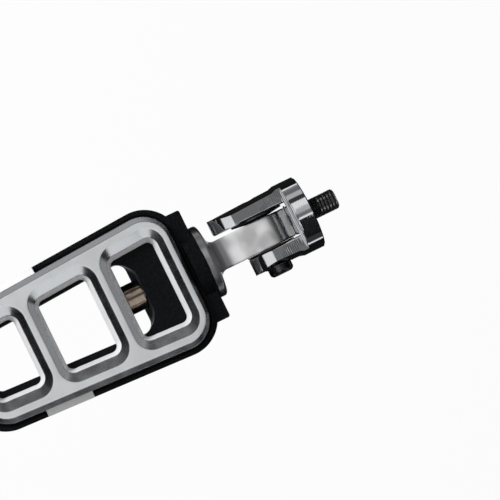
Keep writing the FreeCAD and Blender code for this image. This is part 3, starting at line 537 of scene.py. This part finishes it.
@dataclass(frozen=True)
class ThreadedSteel:
    """The mounting screw: zinc-plated steel with a right-hand thread on one length of it.

    Attributes:
        name: Name of the material.
        colour: Reflected colour.
        worn: Colour of its worn spots.
        gloss: Lowest and highest roughness.
        cloud: Size of the cloudy spots.
        thread_in: Places over which the thread runs in.
        thread_out: Places over which it runs out.
        pitch: Its pitch.
        depth: Its depth.
    """

    name: str = "threaded_steel"
    colour: Colour = (0.66, 0.67, 0.69)
    worn: Colour = (0.561, 0.5695, 0.5865)
    gloss: Span = (0.24, 0.34)
    cloud: float = 4 * MM
    thread_in: Span = (0.5 * MM, 0.9 * MM)
    thread_out: Span = (15.0 * MM, 15.4 * MM)
    pitch: float = 1.8 * MM
    depth: float = 0.8 * MM

    def material(self) -> bpy.types.Material:
        """Build the material.

        Returns:
            The material.
        """
        shader = Shader(self.name)
        along, across, height = shader.axes()
        cloud = shader.noise(self.cloud, CLOUD_DETAIL)
        shader.fill("Base Color", shader.clouded(cloud, self.colour, self.worn))
        shader.fill("Metallic", 1.0)
        shader.fill("Roughness", shader.ramp(cloud, *GLOSS_CLOUDS, *self.gloss))
        around = shader.math("ARCTAN2", height, across)
        turns = shader.math("ADD", shader.math("MULTIPLY", along, 1 / self.pitch),
                            shader.math("MULTIPLY", around, 1 / math.tau))
        crest = shader.math("MULTIPLY", shader.math("PINGPONG", turns, 0.5), 2.0)
        threaded = shader.band(along, self.thread_in, self.thread_out)
        shader.relief(shader.math("MULTIPLY", crest, threaded), self.depth)
        return shader.material


class Coat(Enum):
    """The surfaces of the part, each with its finish."""

    CHROME = TurnedChrome()
    NICKEL = RubbedNickel()
    SILVER = SilverCasting()
    BLACK = CoatedCasting()
    THREAD = ThreadedSteel()
    OXIDE = PlainFinish(
        name="dark_steel", colour=(0.10, 0.10, 0.105), worn=(0.07, 0.07, 0.075), gloss=(0.22, 0.34),
        cloud=4 * MM, grain=(0.4 * MM, 0.4 * MM, 0.4 * MM), depth=0.002 * MM)
    BURNISHED = PlainFinish(
        name="burnished_steel", colour=(0.30, 0.245, 0.20), worn=(0.18, 0.135, 0.105), gloss=(0.14, 0.24),
        cloud=5 * MM, grain=(4 * MM, 4 * MM, 4 * MM), depth=0.001 * MM, edge=0.6 * MM)
    ZINC = PlainFinish(
        name="zinc_steel", colour=(0.66, 0.67, 0.69), worn=(0.55, 0.57, 0.60), gloss=(0.24, 0.34),
        cloud=4 * MM, grain=(0.6 * MM, 0.6 * MM, 0.6 * MM), depth=0.001 * MM)
    POLYMER = PlainFinish(
        name="black_polymer", colour=(0.015, 0.015, 0.016), worn=(0.022, 0.022, 0.023), gloss=(0.4, 0.5),
        cloud=3 * MM, grain=(0.3 * MM, 0.3 * MM, 0.3 * MM), depth=0.006 * MM, metallic=0.0)


@dataclass(frozen=True)
class SubAssembly:
    """One body, whose fields name its nodes and give each its coat. The nodes keep their shapes."""

    def dress(self, materials: dict[Coat, bpy.types.Material]) -> None:
        """Give each node its coat.

        Args:
            materials: The material of each coat.
        """
        for piece in fields(self):
            coat = getattr(self, piece.name)
            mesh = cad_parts[piece.name].data
            mesh.materials.clear()
            mesh.materials.append(materials[coat])
            log.info("%s dressed in %s", piece.name, coat.value.name)


@dataclass(frozen=True)
class Adapter(SubAssembly):
    """The clevis, what fastens it to its seat, and the pivot between its ears.

    Attributes:
        clevis: Coat of the turned collar and its two ears.
        mounting_screw: Coat of the screw through the collar's web.
        mounting_lock_washer: Coat of the split washer under its head.
        seat_pin: Coat of the locating pin in the seat.
        pivot_screw: Coat of the shouldered screw that the peg turns on.
        pivot_washer: Coat of the washer under its head.
        pivot_sleeve: Coat of the sleeve around its shank.
        thrust_washer: Coat of the washer between tongue and shorter ear.
        spring_washer: Coat of the dished washer between tongue and longer ear.
    """

    clevis: Coat = Coat.CHROME
    mounting_screw: Coat = Coat.THREAD
    mounting_lock_washer: Coat = Coat.ZINC
    seat_pin: Coat = Coat.ZINC
    pivot_screw: Coat = Coat.OXIDE
    pivot_washer: Coat = Coat.OXIDE
    pivot_sleeve: Coat = Coat.ZINC
    thrust_washer: Coat = Coat.POLYMER
    spring_washer: Coat = Coat.OXIDE


@dataclass(frozen=True)
class Peg(SubAssembly):
    """The board that folds: its mount, its core and the tread frame on top.

    Attributes:
        peg_mount: Coat of the flange, neck and tongue.
        peg_bolt: Coat of the bolt that draws the flange to the core.
        flange_pin: Coat of the pin that keeps the flange from turning.
        core_body: Coat of the core.
        tread_frame: Coat of the frame with its windows.
        frame_screws: Coat of the screws that hold the frame from below.
    """

    peg_mount: Coat = Coat.NICKEL
    peg_bolt: Coat = Coat.BURNISHED
    flange_pin: Coat = Coat.ZINC
    core_body: Coat = Coat.BLACK
    tread_frame: Coat = Coat.SILVER
    frame_screws: Coat = Coat.OXIDE


@dataclass(frozen=True)
class SkyPatch:
    """One soft box, wall or dark cloth, seen from the object.

    Attributes:
        name: What hangs there.
        level: Its brightness, where 1 is white.
        high: Angle from straight up at which it starts, in degrees.
        low: Angle from straight up at which it ends, in degrees.
        heading: Its middle, as an angle from +X towards +Y, in degrees.
        spread: Half of its width around that middle, in degrees.
        soft: Width of its soft edges, in degrees.
    """

    name: str
    level: float
    high: float
    low: float
    heading: float
    spread: float
    soft: float


# Laid in this order, each over those before it
SKY_PATCHES = (
    SkyPatch("soft box beyond the outboard corner", 0.80, 8, 60, 228, 62, 6),
    SkyPatch("dark cloth over the adapter", 0.10, 12, 54, 0, 48, 8),
    SkyPatch("grey wall inboard", 0.42, 55, 80, 0, 52, 5),
    SkyPatch("soft box beside the shorter ear", 1.15, 8, 56, 273, 50, 5),
    SkyPatch("grey ceiling beside the longer ear", 0.55, 8, 32, 90, 70, 6),
    SkyPatch("dark cloth beside the longer ear", 0.05, 43, 58, 90, 52, 3),
    SkyPatch("pale wall beside the longer ear", 0.60, 58, 74, 90, 60, 3),
    SkyPatch("dim foot of that wall", 0.20, 74, 90, 90, 60, 3),
    SkyPatch("dark cloth beside the shorter ear", 0.05, 58, 96, 261, 42, 4),
    SkyPatch("dark cloth inboard", 0.02, 82, 110, 0, 50, 4),
    SkyPatch("soft box over the outboard end", 1.00, 4, 47, 180, 42, 4),
    SkyPatch("black cloth beyond the outboard end", 0.01, 47, 95, 180, 56, 3),
    SkyPatch("strip light beside the longer ear", 1.05, 13, 43, 83, 13, 2),
    SkyPatch("dim opening for the camera", 0.20, 0, 9, 0, 200, 4),
)


class Sky(Graph):
    """The world under construction: patches of grey laid over one another."""

    def __init__(self, level: float = 0.3) -> None:
        """Start with a plain room.

        Args:
            level: Its brightness, where 1 is white.
        """
        self.world = bpy.data.worlds.new("studio")
        self.world.use_nodes = True
        super().__init__(self.world.node_tree)
        apart = self.node("ShaderNodeSeparateXYZ")
        self.feed(apart.inputs[0], self.node("ShaderNodeTexCoord").outputs["Generated"])
        east, north, up = apart.outputs["X"], apart.outputs["Y"], apart.outputs["Z"]
        self.fall = self.math("MULTIPLY", self.math("ARCCOSINE", up), math.degrees(1))
        self.heading = self.math("MULTIPLY", self.math("ARCTAN2", north, east), math.degrees(1))
        self.level: Socket | float = level

    def lay(self, patch: SkyPatch) -> None:
        """Lay one patch over the others.

        Args:
            patch: The patch.
        """
        half = patch.soft / 2
        inside = self.band(self.fall, (patch.high - half, patch.high + half),
                           (patch.low - half, patch.low + half))
        if patch.spread < HALF_TURN:
            turned = self.math("SUBTRACT", self.heading, patch.heading)
            off = self.math("ABSOLUTE", self.math("WRAP", turned, HALF_TURN, -HALF_TURN))
            beside = self.ramp(off, patch.spread - half, patch.spread + half, 1, 0)
            inside = self.math("MULTIPLY", inside, beside)
        mix = self.node("ShaderNodeMix", data_type="FLOAT")
        self.feed(mix.inputs["A"], self.level)
        self.feed(mix.inputs["B"], patch.level)
        self.feed(mix.inputs["Factor"], inside)
        self.level = mix.outputs["Result"]
        log.info("%s hung", patch.name)

    def finish(self) -> bpy.types.World:
        """Close the world, with plain white behind the object for the camera.

        Returns:
            The world.
        """
        room = self.node("ShaderNodeBackground")
        self.feed(room.inputs["Strength"], self.level)
        white = self.node("ShaderNodeBackground")
        white.inputs["Strength"].default_value = 1.0
        mix = self.node("ShaderNodeMixShader")
        self.feed(mix.inputs["Fac"], self.node("ShaderNodeLightPath").outputs["Is Camera Ray"])
        self.feed(mix.inputs[1], room.outputs[0])
        self.feed(mix.inputs[2], white.outputs[0])
        self.feed(self.node("ShaderNodeOutputWorld").inputs["Surface"], mix.outputs[0])
        return self.world


@dataclass(frozen=True)
class Card:
    """A flat dark card that only reflections show.

    Attributes:
        name: Name of the card.
        corners: Its four corners in order, in metres.
    """

    name: str
    corners: tuple[Point, Point, Point, Point]

    def hang(self, cloth: bpy.types.Material) -> None:
        """Hang the card.

        Args:
            cloth: Its material.
        """
        mesh = bpy.data.meshes.new(self.name)
        shell = bmesh.new()
        shell.faces.new([shell.verts.new(corner) for corner in self.corners])
        shell.to_mesh(mesh)
        shell.free()
        mesh.materials.append(cloth)
        card = bpy.data.objects.new(self.name, mesh)
        card.visible_camera = False
        card.visible_diffuse = False
        card.visible_shadow = False
        bpy.context.scene.collection.objects.link(card)
        log.info("%s hung", self.name)


CLEVIS_CARD = Card("card_clevis", ((-0.058, -0.050, 0.240), (0.030, -0.050, 0.240),
                                   (0.030, -0.112, 0.040), (-0.058, -0.112, 0.040)))
INBOARD_CARD = Card("card_inboard", ((0.006, -0.042, 0.0), (0.006, 0.042, 0.0),
                                     (0.006, 0.042, 0.045), (0.006, -0.042, 0.045)))

# Cards on the floor, each with its angle from +X towards +Y, in degrees
FLOOR_CARDS = (("card_east", 0), ("card_north", 90), ("card_west", 180), ("card_south", 270))


@dataclass(frozen=True)
class Studio:
    """Camera, floor, cards, surroundings and lamp.

    Attributes:
        target: Point that the camera looks at, in metres.
        distance: Distance from the camera to that point.
        turn: Angle of the peg's axis in the picture, in degrees.
        lean: Lean of the camera towards the outboard end, in degrees.
        span: Width of the picture at the target, in metres.
        sensor: Width of the camera's sensor, in millimetres.
        sight: Nearest and farthest distance that the camera sees.
        floor_height: Height of the floor.
        floor_reach: Half of the floor's width.
        floor_colour: Colour of the floor.
        floor_white: Share of plain white in the floor, as camera and reflections see it.
        card_gap: Distance from the middle to the cards on the floor.
        card_width: Width of such a card.
        card_lift: Height of these cards above the floor.
        card_colour: Colour of the cards' cloth.
        key_place: Centre of the lamp.
        key_size: Side of the lamp.
        key_power: Power of the lamp, in watts.
    """

    target: Point = (-0.0362, -0.0048, 0.0)
    distance: float = 1.6
    turn: float = 26.1
    lean: float = 6.3
    span: float = 0.260
    sensor: float = 36.0
    sight: Span = (0.05, 50.0)
    floor_height: float = -0.5
    floor_reach: float = 4.0
    floor_colour: Colour = (0.92, 0.92, 0.92)
    floor_white: float = 0.9
    card_gap: float = 0.17
    card_width: float = 2.0
    card_lift: float = 0.002
    card_colour: Colour = (0.012, 0.012, 0.012)
    key_place: Point = (-0.75, 0.7, 0.75)
    key_size: float = 0.5
    key_power: float = 15.5

    def camera(self) -> None:
        """Look down on the peg at the photograph's angle."""
        lean, turn = math.radians(self.lean), math.radians(self.turn)
        back = Vector((-math.sin(lean), 0, math.cos(lean)))
        along = (Vector((1, 0, 0)) - back * back.x).normalized()
        across = back.cross(along)
        right = along * math.cos(turn) - across * math.sin(turn)
        up = along * math.sin(turn) + across * math.cos(turn)
        data = bpy.data.cameras.new("camera")
        data.sensor_width = self.sensor
        data.lens = self.sensor * self.distance / self.span
        data.clip_start, data.clip_end = self.sight
        camera = bpy.data.objects.new("camera", data)
        place = Vector(self.target) + back * self.distance
        axes = Matrix((right, up, back)).transposed().to_4x4()
        camera.matrix_world = Matrix.Translation(place) @ axes
        bpy.context.scene.collection.objects.link(camera)
        bpy.context.scene.camera = camera

    def pale_paper(self) -> bpy.types.Material:
        """Paper that camera and reflections see as nearly white.

        Returns:
            The material.
        """
        material = bpy.data.materials.new("pale_floor")
        material.use_nodes = True
        graph = Graph(material.node_tree)
        paper = graph.node("ShaderNodeBsdfDiffuse")
        paper.inputs["Color"].default_value = (*self.floor_colour, 1)
        white = graph.node("ShaderNodeEmission")
        white.inputs["Color"].default_value = (1, 1, 1, 1)
        white.inputs["Strength"].default_value = 1.0
        path = graph.node("ShaderNodeLightPath").outputs
        seen = graph.math("MAXIMUM", path["Is Camera Ray"], path["Is Glossy Ray"])
        seen = graph.math("MAXIMUM", seen, path["Is Transmission Ray"])
        mix = graph.node("ShaderNodeMixShader")
        graph.feed(mix.inputs["Fac"], graph.math("MULTIPLY", seen, self.floor_white))
        graph.feed(mix.inputs[1], paper.outputs[0])
        graph.feed(mix.inputs[2], white.outputs[0])
        graph.feed(graph.node("ShaderNodeOutputMaterial").inputs["Surface"], mix.outputs[0])
        return material

    def floor(self) -> None:
        """Lay the plain pale floor."""
        mesh = bpy.data.meshes.new("floor")
        shell = bmesh.new()
        bmesh.ops.create_grid(shell, x_segments=1, y_segments=1, size=self.floor_reach,
                              matrix=Matrix.Translation((0, 0, self.floor_height)))
        shell.to_mesh(mesh)
        shell.free()
        mesh.materials.append(self.pale_paper())
        floor = bpy.data.objects.new("floor", mesh)
        bpy.context.scene.collection.objects.link(floor)

    def dark_cloth(self) -> bpy.types.Material:
        """Cloth of the dark cards.

        Returns:
            The material.
        """
        material = bpy.data.materials.new("dark_cloth")
        material.use_nodes = True
        cloth = material.node_tree.nodes["Principled BSDF"].inputs
        cloth["Base Color"].default_value = (*self.card_colour, 1)
        cloth["Roughness"].default_value = 1.0
        cloth["Specular IOR Level"].default_value = 0.0
        return material

    def cards(self) -> None:
        """Hang the dark cards: four around the view, one beside the clevis and one inboard of it."""
        cloth = self.dark_cloth()
        near, far = self.card_gap, self.card_gap + self.card_width
        low = self.floor_height + self.card_lift
        corners = ((near, -far, low), (far, -far, low), (far, far, low), (near, far, low))
        for name, angle in FLOOR_CARDS:
            way = Matrix.Rotation(math.radians(angle), 3, "Z")
            Card(name, tuple(tuple(way @ Vector(corner)) for corner in corners)).hang(cloth)
        CLEVIS_CARD.hang(cloth)
        INBOARD_CARD.hang(cloth)

    def surroundings(self) -> None:
        """Hang the room's soft boxes and dark cloths around the object."""
        sky = Sky()
        for patch in SKY_PATCHES:
            sky.lay(patch)
        bpy.context.scene.world = sky.finish()

    def lamp(self) -> None:
        """Hang the soft square lamp, which faces the object and isn't seen in its gloss."""
        data = bpy.data.lights.new("key", "AREA")
        data.shape = "SQUARE"
        data.size = self.key_size
        data.energy = self.key_power
        lamp = bpy.data.objects.new("key", data)
        lamp.location = self.key_place
        lamp.visible_glossy = False
        facing = Vector(self.target) - Vector(self.key_place)
        lamp.rotation_euler = facing.to_track_quat("-Z", "Y").to_euler()
        bpy.context.scene.collection.objects.link(lamp)

    def build(self) -> None:
        """Set up the whole studio."""
        self.camera()
        self.floor()
        self.cards()
        self.surroundings()
        self.lamp()
        bpy.context.scene.view_settings.view_transform = "Standard"


def main() -> None:
    """Dress the part and build the studio."""
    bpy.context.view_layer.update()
    materials = {coat: coat.value.material() for coat in Coat}
    Adapter().dress(materials)
    Peg().dress(materials)
    Studio().build()


if __name__ == "__main__":
    main()
